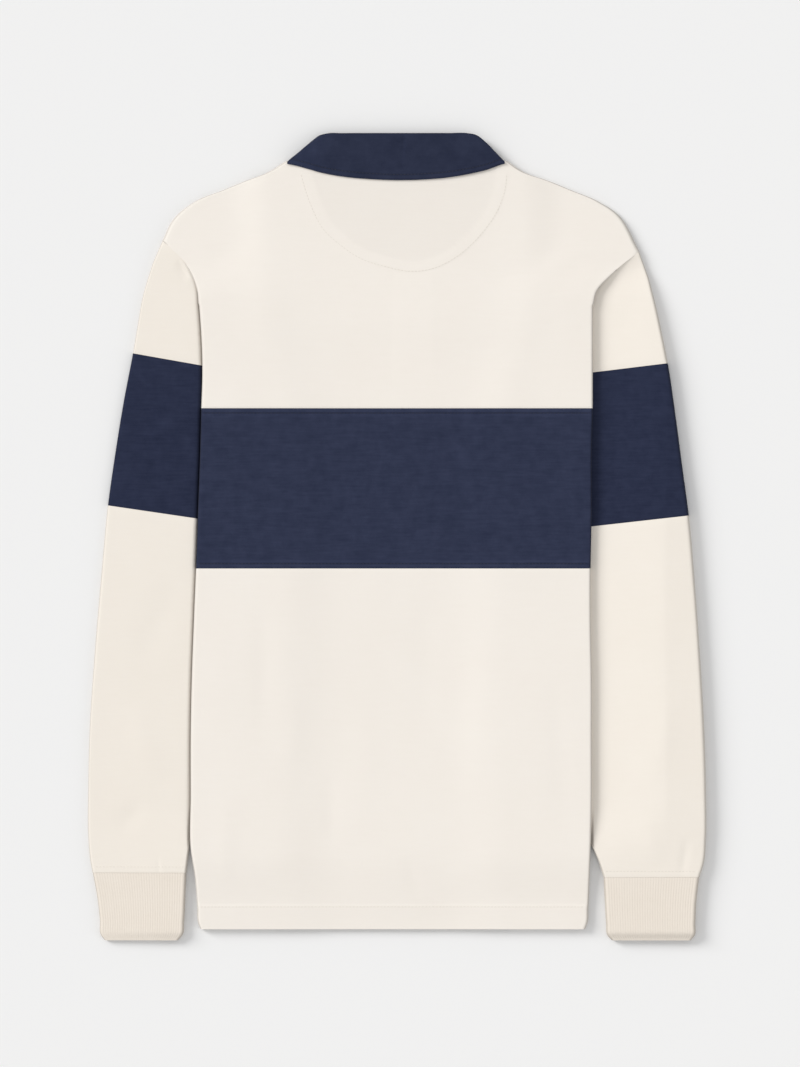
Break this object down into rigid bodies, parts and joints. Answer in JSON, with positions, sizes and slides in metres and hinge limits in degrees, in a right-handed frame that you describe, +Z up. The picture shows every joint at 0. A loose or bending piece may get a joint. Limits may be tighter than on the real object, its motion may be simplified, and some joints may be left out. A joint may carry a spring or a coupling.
{
  "type": "long-sleeve polo shirt laid flat",
  "caption": "Long-sleeve polo shirt laid flat, back up, with a folded collar, a dark chest and sleeve band, ribbed cuffs and sides folded under.",
  "frame": {"origin": "middle of the shirt's box on the surface it lies on", "axes": "+Y towards the collar, +X towards the wearer's right side as seen from above the back, +Z up from the surface"},
  "size_m": [0.581, 0.7588, 0.0088],
  "materials": {
    "cream_jersey": "heavy cotton jersey, matt",
    "navy_jersey": "heavy cotton jersey, matt, slightly washed",
    "navy_collar": "cotton twill, matt",
    "cream_rib": "cotton rib knit, matt",
    "button": "plain, slightly glossy"
  },
  "bodies": {
    "root": {"back_upper": "cream_jersey", "back_band": "navy_jersey", "back_lower": "cream_jersey", "front_upper": "cream_jersey", "front_band": "navy_jersey", "front_lower": "cream_jersey", "neck_patch": "cream_jersey", "placket": "cream_jersey", "button_1": "button", "button_2": "button", "button_3": "button", "collar": "navy_collar", "collar_front_left": "navy_collar", "collar_front_right": "navy_collar", "sleeve_left_upper": "cream_jersey", "sleeve_left_band": "navy_jersey", "sleeve_left_lower": "cream_jersey", "sleeve_right_upper": "cream_jersey", "sleeve_right_band": "navy_jersey", "sleeve_right_lower": "cream_jersey", "cuff_left": "cream_rib", "cuff_right": "cream_rib"}
  },
  "joints": []
}
